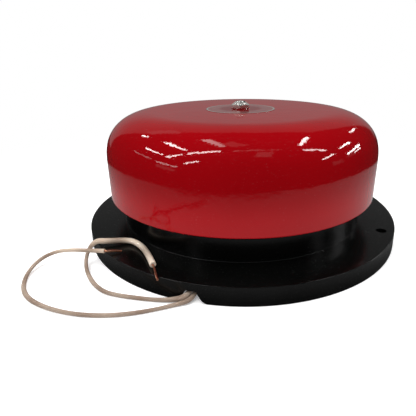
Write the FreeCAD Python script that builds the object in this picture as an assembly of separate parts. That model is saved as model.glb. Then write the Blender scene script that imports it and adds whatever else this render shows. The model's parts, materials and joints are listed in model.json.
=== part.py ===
import FreeCAD, Part
import math
import os

from FreeCAD import Vector

# Under-dome electric gong bell. Millimetres, +Z up, origin at the centre of the base's bottom rim.
# The striker moves along +X, and -Y is the side where the leads come out.

# --- clearances shared by several pieces ---
fit_gap = 0.05            # between pieces that are pressed, screwed or clamped together
running_gap = 0.08        # round a piece that slides
seat_gap = 0.3            # between the striker and its stop at rest, and the gong at full travel
thread_relief = 2.0       # stud beyond its nut

# --- base: a round tray, open underneath, with a raised drum ---
base_radius = 118.0
base_wall = 2.5
flange_top = 12.3
flange_edge_round = 0.9
drum_foot_radius = 92.0
drum_draft = 0.7          # radius that the drum loses from its foot to its deck
drum_height = 16.7
drum_shoulder_round = 3.0
deck_top = flange_top + drum_height
deck_bottom = deck_top - base_wall
flange_bottom = flange_top - base_wall

# --- mounting holes through the flange ---
mount_circle_radius = 109.5
mount_hole_radius = 3.5
mount_pillar_radius = 6.6
mount_count = 3
mount_first_azimuth = -24.8

# --- notch in the skirt where the leads come out ---
exit_azimuth = -103.4
notch_height = 7.4
notch_top_half = 2.9      # half widths where its straight walls would meet the top and the rim
notch_foot_half = 7.3
notch_top_round = 1.3
notch_flare_round = 6.0

# --- gong ---
gong_radius = 101.5
gong_rim_radius = 101.1
gong_wall = 2.0
gong_rim_gap = 3.35       # from the deck up to the rim
gong_side_height = 28.15
gong_shoulder_height = 31.4
gong_flat_radius = 64.8
gong_shoulder_power = 2.37
gong_hole_radius = 4.6
gong_rim_z = deck_top + gong_rim_gap
gong_shoulder_z = gong_rim_z + gong_side_height
gong_top_z = gong_shoulder_z + gong_shoulder_height
gong_inner_top_z = gong_top_z - gong_wall

# --- label, nut and washers on the gong ---
label_radius = 26.4
label_hole_radius = 7.2
label_thickness = 0.2
spring_washer_radius = 6.25
spring_washer_bore = 4.25
spring_washer_height = 1.2
spring_washer_slit = 1.0
nut_across_flats = 13.0
cap_nut_height = 6.1
cap_nut_flat_height = 2.0
cap_nut_cone_height = 2.2
cap_nut_dome_radius = 4.9
cap_nut_bore_depth = 4.6
nut_edge_chamfer = 0.4

# --- central post ---
stud_radius = 4.0
post_radius = 7.0
post_foot_radius = 13.0
post_foot_height = 4.0
post_head_radius = 12.0
post_head_height = 3.0
cushion_radius = 13.0
cushion_thickness = 1.5
post_washer_radius = 12.0
post_washer_thickness = 1.6
post_nut_height = 6.5
stud_hole_radius = stud_radius + 0.3

# --- chassis plate on the deck ---
chassis_thickness = 2.0
chassis_rear_x = -54.0
chassis_front_margin = 5.5
chassis_half_width = 30.0
chassis_corner_round = 8.0
chassis_screw_margin = 6.0
chassis_top = deck_top + chassis_thickness

# --- screws and the bosses that take them ---
m4_radius = 2.0
m4_head_radius = 4.0
m4_head_height = 2.6
m4_length = 12.0
m3_radius = 1.5
m3_head_radius = 2.8
m3_head_height = 2.0
screw_hole_play = 0.2
screw_slot_width = 1.0
screw_slot_depth = 0.9
boss_wall = 2.2
boss_floor = 2.0

# --- solenoid frame ---
striker_height = 18.0     # axis above the chassis plate
frame_thickness = 2.5
frame_half_width = 15.0
frame_rear_x = 24.0
frame_bend_round = 1.0
frame_lug_radius = 7.0
frame_screw_y = 20.0
striker_z = chassis_top + striker_height

# --- coil ---
bobbin_length = 41.4
bobbin_flange_radius = 14.3
bobbin_flange_thickness = 1.8
bobbin_tube_wall = 1.0
winding_radius = 12.4
tape_thickness = 0.35
tape_margin = 1.6

# --- magnetic core, plunger and striker ---
guide_inner_radius = 5.5
guide_wall = 0.5
guide_overhang = 1.5
pole_length = 13.0
pole_nose_radius = 5.0
pole_nose_overhang = 0.5
pole_nut_across_flats = 14.0
pole_nut_thickness = 3.0
buffer_radius = 6.0
buffer_thickness = 2.0
pin_radius = 2.5
pin_socket_depth = 10.0
strike_travel = 4.0
plunger_overhang = 12.5   # plunger behind the frame at rest
plunger_chamfer = 0.8
clip_inset = 1.5
clip_thickness = 1.0
clip_radius = 8.2
clip_groove_depth = 1.0
clip_mouth = 7.0
spring_collar_radius = 8.8
spring_collar_thickness = 1.0
spring_mean_radius = 7.2
spring_wire_radius = 0.45
spring_turns = 4
spring_wire_sides = 8
head_collar_radius = 6.0
head_collar_length = 4.0
head_taper_length = 1.7
head_radius = 4.75
head_dome_height = 2.4

# --- tag board with the rectifier diode ---
board_y = -23.0
board_x_ends = (-42.0, -6.0)
board_half_width = 4.0
board_thickness = 1.6
board_pillar_height = 6.0
board_pillar_radius = 3.5
board_screw_inset = 3.0
tag_spacing = 9.0
tag_width = 4.0
tag_thickness = 0.6
tag_height = 7.4
tag_eye_radius = 0.6
tag_eye_height = 1.2      # above the board
diode_radius = 2.3
diode_length = 5.0
diode_leg_radius = 0.4
diode_offset = 3.5        # diode's axis in front of the tags
diode_height = 5.9        # diode's axis above the board
tail_radius = 0.8

# --- leads, grommet and clip ---
lead_radius = 1.25
core_radius = 0.65
core_straight = 3.0       # bare wire before its bend
lead_spacing = 2.8
lead_offset = 0.2         # middle of the two leads from the middle of the notch
lead_rest_z = lead_radius + fit_gap
grommet_place = 60.0      # distance from the centre
grommet_hole_radius = 5.5
grommet_bore_radius = 3.0
grommet_lip_radius = 7.0
grommet_lip_height = 1.6
clip_place = 78.0
clip_width = 6.0
clip_half_length = 11.5
clip_bar_height = 4.5
clip_bar_z = 3.0
clip_lead_z = 5.2
clip_screw_offset = 8.0
clip_post_radius = 3.2
clip_screw_length = 10.0


def polygon_face(points):
    return Part.Face(Part.makePolygon([Vector(*p) for p in points] + [Vector(*points[0])]))


def revolve(edges_or_points):
    """Turns a closed profile of (radius, height) points, or of ready edges in the XZ plane, about Z."""
    if isinstance(edges_or_points[0], tuple):
        profile = polygon_face([(r, 0, z) for r, z in edges_or_points])
    else:
        profile = Part.Face(Part.Wire(edges_or_points))
    return profile.revolve(Vector(0, 0, 0), Vector(0, 0, 1), 360)


def line(a, b):
    return Part.LineSegment(Vector(a[0], 0, a[1]), Vector(b[0], 0, b[1])).toShape()


def arc(a, middle, b):
    return Part.Arc(*(Vector(p[0], 0, p[1]) for p in (a, middle, b))).toShape()


def dome(radius, foot, height):
    """The profile of a spherical cap on the Z axis, from its edge up to its crown."""
    ball = (radius ** 2 + height ** 2) / (2 * height)
    half = math.asin(radius / ball) / 2
    middle = (ball * math.sin(half), foot + height - ball + ball * math.cos(half))
    return arc((radius, foot), middle, (0, foot + height))


def cylinder(radius, low, high, x=0.0, y=0.0):
    return Part.makeCylinder(radius, high - low, Vector(x, y, low))


def ring(inner, outer, low, high, x=0.0, y=0.0):
    return cylinder(outer, low, high, x, y).cut(cylinder(inner, low - 1, high + 1, x, y))


def hexagon(across_flats, low, high):
    """A hexagon with a flat that faces -Y."""
    corner = across_flats / math.sqrt(3)
    angles = [math.radians(60 * k) for k in range(6)]
    points = [(corner * math.cos(a), corner * math.sin(a), low) for a in angles]
    return polygon_face(points).extrude(Vector(0, 0, high - low))


def on_striker_axis(shape):
    """Lays a piece that was made along Z onto the striker's axis, so that its Z becomes X."""
    laid = shape.copy()
    laid.rotate(Vector(0, 0, 0), Vector(0, 1, 0), 90)
    laid.translate(Vector(0, 0, striker_z))
    return laid


def towards_exit(shape):
    """Turns a piece made on the -Y side to the azimuth where the leads come out."""
    turned = shape.copy()
    turned.rotate(Vector(0, 0, 0), Vector(0, 0, 1), exit_azimuth + 90)
    return turned


def exit_point(distance, sideways, z):
    turn = FreeCAD.Rotation(Vector(0, 0, 1), exit_azimuth + 90)
    return turn.multVec(Vector(sideways, -distance, z))


def screw(x, y, seat, radius, length, head_radius, head_height, down=True):
    """A pan-head screw whose head sits on seat and whose shank goes down, or up."""
    edge = head_height * 0.45
    head = revolve([
        line((0, 0), (head_radius, 0)),
        line((head_radius, 0), (head_radius, edge)),
        dome(head_radius, edge, head_height - edge),
        line((0, head_height), (0, 0)),
    ])
    slot = Part.makeBox(2 * head_radius + 2, screw_slot_width, screw_slot_depth + 1,
                        Vector(-head_radius - 1, -screw_slot_width / 2, head_height - screw_slot_depth))
    piece = head.cut(slot).fuse(cylinder(radius, -length, 0)).removeSplitter()
    if not down:
        piece.rotate(Vector(0, 0, 0), Vector(1, 0, 0), 180)
    piece.translate(Vector(x, y, seat))
    return piece


def swept_tube(name, points, radius):
    """A round tube along straight runs that are joined by tangent arcs."""
    points = [Vector(*p) for p in points]
    edges = []
    radii = []
    start = points[0]
    for before, corner, after in zip(points, points[1:], points[2:]):
        inward = (corner - before).normalize()
        outward = (after - corner).normalize()
        half_turn = inward.getAngle(outward) / 2
        reach = 0.45 * min((corner - before).Length, (after - corner).Length)
        bend = reach / math.tan(half_turn)
        radii.append(bend)
        arc_start = corner - inward * reach
        arc_end = corner + outward * reach
        middle = corner + (outward - inward).normalize() * (bend / math.cos(half_turn) - bend)
        edges.append(Part.LineSegment(start, arc_start).toShape())
        edges.append(Part.Arc(arc_start, middle, arc_end).toShape())
        start = arc_end
    edges.append(Part.LineSegment(start, points[-1]).toShape())
    path = Part.Wire(edges)
    section = Part.Wire(Part.makeCircle(radius, points[0], points[1] - points[0]))
    tube = path.makePipeShell([section], True, False)
    expected = math.pi * radius ** 2 * path.Length
    print(f"{name}: {path.Length:.1f} mm long, radii {[round(r, 1) for r in radii]},",
          f"volume {tube.Volume / expected:.4f} of section x length")
    return tube


def group(solids):
    return Part.makeCompound(solids)


# --- places worked out from the sizes above ---
frame_rear_inner_x = frame_rear_x + frame_thickness
frame_front_inner_x = frame_rear_inner_x + bobbin_length + 2 * fit_gap
frame_front_x = frame_front_inner_x + frame_thickness
frame_middle_x = (frame_rear_x + frame_front_x) / 2
pole_rear_x = frame_front_inner_x - pole_length
pole_nose_x = frame_front_x + pole_nut_thickness + pole_nose_overhang
buffer_front_x = pole_nose_x + buffer_thickness
head_rear_x = buffer_front_x + seat_gap
plunger_front_x = pole_rear_x - strike_travel - seat_gap
plunger_rear_x = frame_rear_x - plunger_overhang
plunger_radius = guide_inner_radius - running_gap
guide_radius = guide_inner_radius + guide_wall
clip_rear_x = plunger_rear_x + clip_inset
spring_seat_x = clip_rear_x + clip_thickness + spring_collar_thickness
chassis_front_x = frame_front_x + chassis_front_margin

chassis_screw_places = [
    (x, side * (chassis_half_width - chassis_screw_margin))
    for x in (chassis_rear_x + chassis_screw_margin, chassis_front_x - chassis_screw_margin)
    for side in (-1, 1)
]
frame_screw_places = [(frame_middle_x, side * frame_screw_y) for side in (-1, 1)]
board_screw_places = [
    (board_x_ends[0] + board_screw_inset, board_y),
    (board_x_ends[1] - board_screw_inset, board_y),
]
board_bottom = chassis_top + board_pillar_height
board_top = board_bottom + board_thickness
board_middle_x = sum(board_x_ends) / 2
tag_xs = [board_middle_x + k * tag_spacing for k in (-1, 0, 1)]


def gong_side_radius(z):
    """Outer radius of the gong's straight side at a height."""
    share = (z - gong_rim_z) / gong_side_height
    return gong_rim_radius + (gong_radius - gong_rim_radius) * share


def shoulder_curve(inset):
    """The gong's rounded shoulder as one curve, from the side up to the flat top."""
    reach = gong_radius - gong_flat_radius - inset
    rise = gong_shoulder_height - inset
    power = 2 / gong_shoulder_power
    angles = [math.radians(a) for a in (0, 45, 90)]
    points = [
        Vector(gong_flat_radius + reach * max(math.cos(a), 0) ** power, 0,
               gong_shoulder_z + rise * math.sin(a) ** power)
        for a in angles
    ]
    side = Vector(gong_radius - gong_rim_radius, 0, gong_side_height).normalize()
    curve = Part.BSplineCurve()
    curve.interpolate(Points=points, InitialTangent=side, FinalTangent=Vector(-1, 0, 0))
    return curve.toShape()


def make_gong():
    outer_rim = (gong_rim_radius, gong_rim_z + gong_wall / 2)
    inner_rim = (gong_rim_radius - gong_wall, gong_rim_z + gong_wall / 2)
    profile = [
        arc(inner_rim, (gong_rim_radius - gong_wall / 2, gong_rim_z), outer_rim),
        line(outer_rim, (gong_radius, gong_shoulder_z)),
        shoulder_curve(0),
        line((gong_flat_radius, gong_top_z), (gong_hole_radius, gong_top_z)),
        line((gong_hole_radius, gong_top_z), (gong_hole_radius, gong_inner_top_z)),
        line((gong_hole_radius, gong_inner_top_z), (gong_flat_radius, gong_inner_top_z)),
        shoulder_curve(gong_wall),
        line((gong_radius - gong_wall, gong_shoulder_z), inner_rim),
    ]
    return Part.Face(Part.Wire(Part.__sortEdges__(profile))).revolve(
        Vector(0, 0, 0), Vector(0, 0, 1), 360)


def make_base():
    drum_top_radius = drum_foot_radius - drum_draft
    inner_foot = drum_foot_radius - base_wall
    inner_top = drum_top_radius - base_wall
    shell = revolve([
        (0, deck_bottom), (inner_top, deck_bottom), (inner_foot, flange_bottom),
        (base_radius - base_wall, flange_bottom), (base_radius - base_wall, 0), (base_radius, 0),
        (base_radius, flange_top), (drum_foot_radius, flange_top), (drum_top_radius, deck_top),
        (0, deck_top),
    ])
    shell = round_edges(shell, drum_top_radius, deck_top, drum_shoulder_round)
    shell = round_edges(shell, base_radius, flange_top, flange_edge_round)

    solids = []
    cuts = [cylinder(stud_hole_radius, deck_bottom - 1, deck_top + 1)]
    for k in range(mount_count):
        azimuth = math.radians(mount_first_azimuth + 360 / mount_count * k)
        x = mount_circle_radius * math.cos(azimuth)
        y = mount_circle_radius * math.sin(azimuth)
        solids.append(cylinder(mount_pillar_radius, 0, flange_bottom + 1, x, y))
        cuts.append(cylinder(mount_hole_radius, -1, flange_top + 1, x, y))

    screw_bottoms = [(p, chassis_top - m4_length) for p in chassis_screw_places]
    screw_bottoms += [(p, chassis_top + frame_thickness - m4_length) for p in frame_screw_places]
    for (x, y), bottom in screw_bottoms:
        solids.append(cylinder(m4_radius + fit_gap + boss_wall, bottom - boss_floor, deck_bottom + 1, x, y))
        cuts.append(cylinder(m4_radius + fit_gap, bottom - seat_gap, deck_top + 1, x, y))

    clip_top = clip_bar_z + clip_bar_height
    for side in (-1, 1):
        at = exit_point(clip_place, lead_offset + side * clip_screw_offset, 0)
        screw_end = clip_bar_z + clip_screw_length
        solids.append(cylinder(clip_post_radius, clip_top, deck_bottom + 1, at.x, at.y))
        cuts.append(cylinder(m3_radius + fit_gap, clip_top - 1, screw_end + seat_gap, at.x, at.y))

    grommet_at = exit_point(grommet_place, lead_offset, 0)
    cuts.append(cylinder(grommet_hole_radius, deck_bottom - 1, deck_top + 1, grommet_at.x, grommet_at.y))
    cuts.append(make_notch_cutter())

    body = shell.fuse(solids).cut(cuts).removeSplitter()
    return body.Solids[0]


def round_edges(shape, radius, z, fillet):
    """Rounds the circular edge of a turned shape that lies at a radius and height."""
    chosen = [
        e for e in shape.Edges
        if abs(e.BoundBox.ZMin - z) < 0.01 and abs(e.BoundBox.ZMax - z) < 0.01
        and abs(e.BoundBox.XMax - radius) < 0.05
    ]
    return shape.makeFillet(fillet, chosen)


def make_notch_cutter():
    """The cable notch: a round-topped gap whose leaning walls flare out to the bottom rim."""
    foot_end = notch_foot_half + notch_flare_round
    below = -1.0
    half = [(notch_top_half, notch_height), (notch_foot_half, 0), (foot_end, 0), (foot_end, below)]
    outline = half + [(-x, z) for x, z in reversed(half)]
    cutter = polygon_face([(x, 0, z) for x, z in outline]).extrude(Vector(0, 2 * base_wall + 1, 0))
    for corner_z, fillet in ((notch_height, notch_top_round), (0, notch_flare_round)):
        corner_x = notch_top_half if corner_z else notch_foot_half
        cutter = cutter.makeFillet(fillet, [
            e for e in cutter.Edges
            if e.BoundBox.YLength > base_wall and abs(e.BoundBox.ZMin - corner_z) < 0.01
            and abs(abs(e.BoundBox.Center.x) - corner_x) < 0.01
        ])
    cutter.translate(Vector(0, -(base_radius + 1), 0))
    return towards_exit(cutter)


def make_cap_nut():
    """Hexagon below, cone with scalloped edges and a low dome above."""
    corner = nut_across_flats / math.sqrt(3)
    cone_top = cap_nut_flat_height + cap_nut_cone_height
    turned = revolve([
        line((0, 0), (corner - nut_edge_chamfer, 0)),
        line((corner - nut_edge_chamfer, 0), (corner + 0.01, nut_edge_chamfer)),
        line((corner + 0.01, nut_edge_chamfer), (corner + 0.01, cap_nut_flat_height)),
        line((corner + 0.01, cap_nut_flat_height), (cap_nut_dome_radius, cone_top)),
        dome(cap_nut_dome_radius, cone_top, cap_nut_height - cone_top),
        line((0, cap_nut_height), (0, 0)),
    ])
    nut = turned.common(hexagon(nut_across_flats, 0, cap_nut_height))
    nut = nut.cut(cylinder(stud_radius + fit_gap, -1, cap_nut_bore_depth))
    nut.translate(Vector(0, 0, gong_top_z + spring_washer_height))
    return nut


def make_hex_nut(across_flats, height, bore):
    """A plain nut with its corners turned off at both ends."""
    corner = across_flats / math.sqrt(3)
    chamfer = corner - across_flats / 2
    turned = revolve([
        (0, 0), (corner - chamfer, 0), (corner, chamfer / 2), (corner, height - chamfer / 2),
        (corner - chamfer, height), (0, height),
    ])
    return turned.common(hexagon(across_flats, 0, height)).cut(cylinder(bore, -1, height + 1))


def make_spring_washer():
    washer = ring(spring_washer_bore, spring_washer_radius, gong_top_z, gong_top_z + spring_washer_height)
    slit = Part.makeBox(spring_washer_radius + 1, spring_washer_slit, spring_washer_height + 2,
                        Vector(0, 0, gong_top_z - 1))
    slit.rotate(Vector(0, 0, gong_top_z), Vector(0, 0, 1), 140)
    return washer.cut(slit)


def make_post():
    head_top = gong_inner_top_z - cushion_thickness
    stud_top = gong_top_z + spring_washer_height + cap_nut_bore_depth - fit_gap
    stud_bottom = deck_bottom - post_washer_thickness - post_nut_height - thread_relief
    foot_top = chassis_top + post_foot_height
    return revolve([
        (0, stud_bottom), (stud_radius - 0.6, stud_bottom), (stud_radius, stud_bottom + 0.6),
        (stud_radius, chassis_top), (post_foot_radius, chassis_top),
        (post_foot_radius, foot_top - 1), (post_foot_radius - 1, foot_top),
        (post_radius, foot_top), (post_radius, head_top - post_head_height - 3),
        (post_head_radius, head_top - post_head_height), (post_head_radius, head_top),
        (stud_radius, head_top), (stud_radius, stud_top - 0.6), (stud_radius - 0.6, stud_top),
        (0, stud_top),
    ])


def rounded_plate(x0, x1, half_width, corner, low, high):
    plate = Part.makeBox(x1 - x0, 2 * half_width, high - low, Vector(x0, -half_width, low))
    upright = [e for e in plate.Edges if abs(e.BoundBox.ZLength - (high - low)) < 0.01]
    return plate.makeFillet(corner, upright)


def make_chassis():
    plate = rounded_plate(chassis_rear_x, chassis_front_x, chassis_half_width, chassis_corner_round,
                          deck_top, chassis_top)
    cuts = [cylinder(stud_hole_radius, deck_top - 1, chassis_top + 1)]
    for x, y in chassis_screw_places + frame_screw_places:
        cuts.append(cylinder(m4_radius + screw_hole_play, deck_top - 1, chassis_top + 1, x, y))
    for x, y in board_screw_places:
        cuts.append(cylinder(m3_radius + fit_gap, deck_top - 1, chassis_top + 1, x, y))
    return plate.cut(cuts)


def make_solenoid_frame():
    """A strip bent to a U, with round-headed uprights and two fixing lugs on its foot."""
    low, high = chassis_top, striker_z + frame_half_width
    outline = [
        (frame_rear_x, 0, low), (frame_front_x, 0, low), (frame_front_x, 0, high),
        (frame_front_inner_x, 0, high), (frame_front_inner_x, 0, low + frame_thickness),
        (frame_rear_inner_x, 0, low + frame_thickness), (frame_rear_inner_x, 0, high),
        (frame_rear_x, 0, high),
    ]
    strip = polygon_face(outline).extrude(Vector(0, 2 * frame_half_width, 0))
    strip.translate(Vector(0, -frame_half_width, 0))
    strip = strip.makeFillet(frame_bend_round, bend_edges(strip, low + frame_thickness,
                                                         (frame_rear_inner_x, frame_front_inner_x)))
    strip = strip.makeFillet(frame_bend_round + frame_thickness,
                             bend_edges(strip, low, (frame_rear_x, frame_front_x)))
    head = Part.makeCylinder(frame_half_width, frame_front_x - frame_rear_x + 2,
                             Vector(frame_rear_x - 1, 0, striker_z), Vector(1, 0, 0))
    body = Part.makeBox(frame_front_x - frame_rear_x + 2, 2 * frame_half_width, striker_height,
                        Vector(frame_rear_x - 1, -frame_half_width, low))
    strip = strip.common(head.fuse(body))
    lug = Part.makeBox(2 * frame_lug_radius, 2 * frame_screw_y, frame_thickness,
                       Vector(frame_middle_x - frame_lug_radius, -frame_screw_y, low))
    ends = [cylinder(frame_lug_radius, low, low + frame_thickness, x, y) for x, y in frame_screw_places]
    cuts = [cylinder(m4_radius + screw_hole_play, low - 1, low + frame_thickness + 1, x, y)
            for x, y in frame_screw_places]
    cuts.append(on_striker_axis(cylinder(guide_radius + fit_gap, frame_rear_x - 1, frame_rear_inner_x + 1)))
    cuts.append(on_striker_axis(cylinder(pole_nose_radius + fit_gap, frame_front_inner_x - 1,
                                         frame_front_x + 1)))
    return strip.fuse([lug] + ends).cut(cuts).removeSplitter()


def bend_edges(strip, z, xs):
    return [
        e for e in strip.Edges
        if e.BoundBox.YLength > frame_half_width and e.BoundBox.ZLength < 0.01
        and abs(e.BoundBox.ZMin - z) < 0.01
        and any(abs(e.BoundBox.XMin - x) < 0.01 and e.BoundBox.XLength < 0.01 for x in xs)
    ]


def make_bobbin():
    inner = guide_radius + 2 * fit_gap
    tube = inner + bobbin_tube_wall
    rear = frame_rear_inner_x + fit_gap
    front = rear + bobbin_length
    return on_striker_axis(revolve([
        (inner, rear), (bobbin_flange_radius, rear),
        (bobbin_flange_radius, rear + bobbin_flange_thickness), (tube, rear + bobbin_flange_thickness),
        (tube, front - bobbin_flange_thickness), (bobbin_flange_radius, front - bobbin_flange_thickness),
        (bobbin_flange_radius, front), (inner, front),
    ]))


def coil_space():
    """Ends of the winding between the bobbin's flanges."""
    rear = frame_rear_inner_x + 2 * fit_gap + bobbin_flange_thickness
    return rear, rear + bobbin_length - 2 * bobbin_flange_thickness - 2 * fit_gap


def make_winding():
    rear, front = coil_space()
    inner = guide_radius + 3 * fit_gap + bobbin_tube_wall
    return on_striker_axis(ring(inner, winding_radius, rear, front))


def make_tape():
    rear, front = coil_space()
    inner = winding_radius + fit_gap
    return on_striker_axis(ring(inner, inner + tape_thickness, rear + tape_margin, front - tape_margin))


def make_fixed_pole():
    bore = pin_radius + running_gap
    return on_striker_axis(revolve([
        (bore, pole_rear_x), (guide_radius, pole_rear_x), (guide_radius, frame_front_inner_x - fit_gap),
        (pole_nose_radius, frame_front_inner_x - fit_gap), (pole_nose_radius, pole_nose_x - 0.5),
        (pole_nose_radius - 0.5, pole_nose_x), (bore, pole_nose_x),
    ]))


def make_pole_nut():
    nut = make_hex_nut(pole_nut_across_flats, pole_nut_thickness, pole_nose_radius + fit_gap)
    nut.translate(Vector(0, 0, frame_front_x))
    return on_striker_axis(nut)


def make_plunger():
    groove = plunger_radius - clip_groove_depth
    socket = pin_radius + fit_gap
    return on_striker_axis(revolve([
        (0, plunger_rear_x), (plunger_radius - plunger_chamfer, plunger_rear_x),
        (plunger_radius, plunger_rear_x + plunger_chamfer), (plunger_radius, clip_rear_x),
        (groove, clip_rear_x), (groove, clip_rear_x + clip_thickness),
        (plunger_radius, clip_rear_x + clip_thickness), (plunger_radius, plunger_front_x),
        (socket, plunger_front_x), (socket, plunger_front_x - pin_socket_depth),
        (0, plunger_front_x - pin_socket_depth),
    ]))


def make_retaining_clip():
    inner = plunger_radius - clip_groove_depth + fit_gap
    low = clip_rear_x + fit_gap
    high = clip_rear_x + clip_thickness - fit_gap
    mouth = Part.makeBox(clip_radius + 1, clip_mouth, clip_thickness + 2, Vector(0, -clip_mouth / 2, low - 1))
    return on_striker_axis(ring(inner, clip_radius, low, high).cut(mouth))


def make_spring_collar():
    low = clip_rear_x + clip_thickness
    return on_striker_axis(ring(plunger_radius + fit_gap, spring_collar_radius, low, spring_seat_x))


def make_return_spring():
    """The coil spring between the collar and the frame; its wire is many-sided to keep facets few."""
    start = spring_seat_x + spring_wire_radius + fit_gap
    height = frame_rear_x - spring_wire_radius - fit_gap - start
    helix = Part.makeHelix(height / spring_turns, height, spring_mean_radius)
    corners = []
    for k in range(spring_wire_sides + 1):
        angle = 2 * math.pi * k / spring_wire_sides
        corners.append(Vector(spring_mean_radius + spring_wire_radius * math.cos(angle), 0,
                              spring_wire_radius * math.sin(angle)))
    spring = Part.Wire(helix).makePipeShell([Part.makePolygon(corners)], True, True)
    spring.translate(Vector(0, 0, start))
    return on_striker_axis(spring)


def make_striker_head():
    """Moulded head: a collar that rests on the buffer, a taper and a domed nose."""
    socket = pin_radius + fit_gap
    nose = gong_side_radius(striker_z) - gong_wall - strike_travel - seat_gap
    collar_front = head_rear_x + head_collar_length
    dome_foot = nose - head_dome_height
    return on_striker_axis(revolve([
        line((0, head_rear_x + pin_socket_depth), (socket, head_rear_x + pin_socket_depth)),
        line((socket, head_rear_x + pin_socket_depth), (socket, head_rear_x)),
        line((socket, head_rear_x), (head_collar_radius, head_rear_x)),
        line((head_collar_radius, head_rear_x), (head_collar_radius, collar_front)),
        line((head_collar_radius, collar_front), (head_radius, collar_front + head_taper_length)),
        line((head_radius, collar_front + head_taper_length), (head_radius, dome_foot)),
        dome(head_radius, dome_foot, head_dome_height),
        line((0, nose), (0, head_rear_x + pin_socket_depth)),
    ]))


def make_board():
    board = Part.makeBox(board_x_ends[1] - board_x_ends[0], 2 * board_half_width, board_thickness,
                         Vector(board_x_ends[0], board_y - board_half_width, board_bottom))
    holes = [cylinder(m3_radius + screw_hole_play, board_bottom - 1, board_top + 1, x, y)
             for x, y in board_screw_places]
    return board.cut(holes)


def make_tag(x):
    """A flat tag that stands on the board, with a round head and an eye below it."""
    low, head_z = board_top, board_top + tag_height - tag_width / 2
    blade = Part.makeBox(tag_width, tag_thickness, head_z - low,
                         Vector(x - tag_width / 2, board_y - tag_thickness / 2, low))
    head = Part.makeCylinder(tag_width / 2, tag_thickness, Vector(x, board_y - tag_thickness / 2, head_z),
                             Vector(0, 1, 0))
    eye = Part.makeCylinder(tag_eye_radius, tag_thickness + 2,
                            Vector(x, board_y - tag_thickness / 2 - 1, low + tag_eye_height), Vector(0, 1, 0))
    return blade.fuse(head).cut(eye).removeSplitter()


def make_diode():
    """An axial diode in front of the first two tags, with its legs bent back to them."""
    y = board_y - diode_offset
    z = board_top + diode_height
    middle = (tag_xs[0] + tag_xs[1]) / 2
    body = Part.makeCylinder(diode_radius, diode_length, Vector(middle - diode_length / 2, y, z),
                             Vector(1, 0, 0))
    body = body.makeFillet(0.4, [e for e in body.Edges if e.BoundBox.XLength < 0.01])
    legs = []
    for side, tag_x in ((-1, tag_xs[0]), (1, tag_xs[1])):
        inside = middle + side * (diode_length / 2 - 1)
        legs.append(swept_tube("diode leg", [
            (inside, y, z), (tag_x, y, z), (tag_x, board_y - tag_thickness / 2, z),
        ], diode_leg_radius))
    return body.fuse(legs)


def make_grommet():
    low, high = deck_bottom - grommet_lip_height, deck_top + grommet_lip_height
    groove = grommet_hole_radius - fit_gap
    piece = revolve([
        (grommet_bore_radius, low), (grommet_lip_radius - 0.5, low), (grommet_lip_radius, low + 0.5),
        (grommet_lip_radius, deck_bottom - fit_gap), (groove, deck_bottom - fit_gap),
        (groove, deck_top + fit_gap), (grommet_lip_radius, deck_top + fit_gap),
        (grommet_lip_radius, high - 0.5), (grommet_lip_radius - 0.5, high), (grommet_bore_radius, high),
    ])
    piece.translate(exit_point(grommet_place, lead_offset, 0))
    return piece


def make_cable_clip():
    """A moulded bar under the deck that holds both leads."""
    bar = Part.makeBox(2 * clip_half_length, clip_width, clip_bar_height,
                       Vector(lead_offset - clip_half_length, -clip_place - clip_width / 2, clip_bar_z))
    bar = bar.makeFillet(1.5, [e for e in bar.Edges if e.BoundBox.ZLength > clip_bar_height - 0.01])
    cuts = []
    for side in (-1, 1):
        cuts.append(Part.makeCylinder(lead_radius + fit_gap, clip_width + 2,
                                      Vector(lead_offset + side * lead_spacing / 2,
                                             -clip_place - clip_width / 2 - 1, clip_lead_z),
                                      Vector(0, 1, 0)))
        cuts.append(cylinder(m3_radius + screw_hole_play, clip_bar_z - 1, clip_bar_z + clip_bar_height + 1,
                             lead_offset + side * clip_screw_offset, -clip_place))
    return towards_exit(bar.cut(cuts))


def make_clip_screws():
    solids = []
    for side in (-1, 1):
        at = exit_point(clip_place, lead_offset + side * clip_screw_offset, 0)
        solids.append(screw(at.x, at.y, clip_bar_z, m3_radius, clip_screw_length, m3_head_radius,
                            m3_head_height, down=False))
    return group(solids)


lead_a_side = lead_offset + lead_spacing / 2
lead_b_side = lead_offset - lead_spacing / 2
clip_outer = clip_place + clip_width / 2
solder_a_z = board_top + 3.4      # heights at which the wires meet their tags
solder_b_z = board_top + 2.4
solder_tail_z = board_top + 5.4
lead_arch_z = deck_top + 12.0      # top of the inner leads above the grommet
lead_drop_z = deck_top - 12.0      # where they start to bend outwards below the deck
lead_turn_z = deck_top - 20.0
lead_turn_out = 3.5
lead_turn_end = 8.5
tag_front = board_y - tag_thickness / 2
tag_back = board_y + tag_thickness / 2


def inner_lead_end(side):
    """The last stretch of a lead inside the base: down through the grommet and out through the clip."""
    return [
        exit_point(grommet_place, side, lead_drop_z),
        exit_point(grommet_place + lead_turn_out, side, lead_turn_z),
        exit_point(clip_place - lead_turn_end, side, clip_lead_z),
        exit_point(clip_outer, side, clip_lead_z),
    ]


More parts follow.
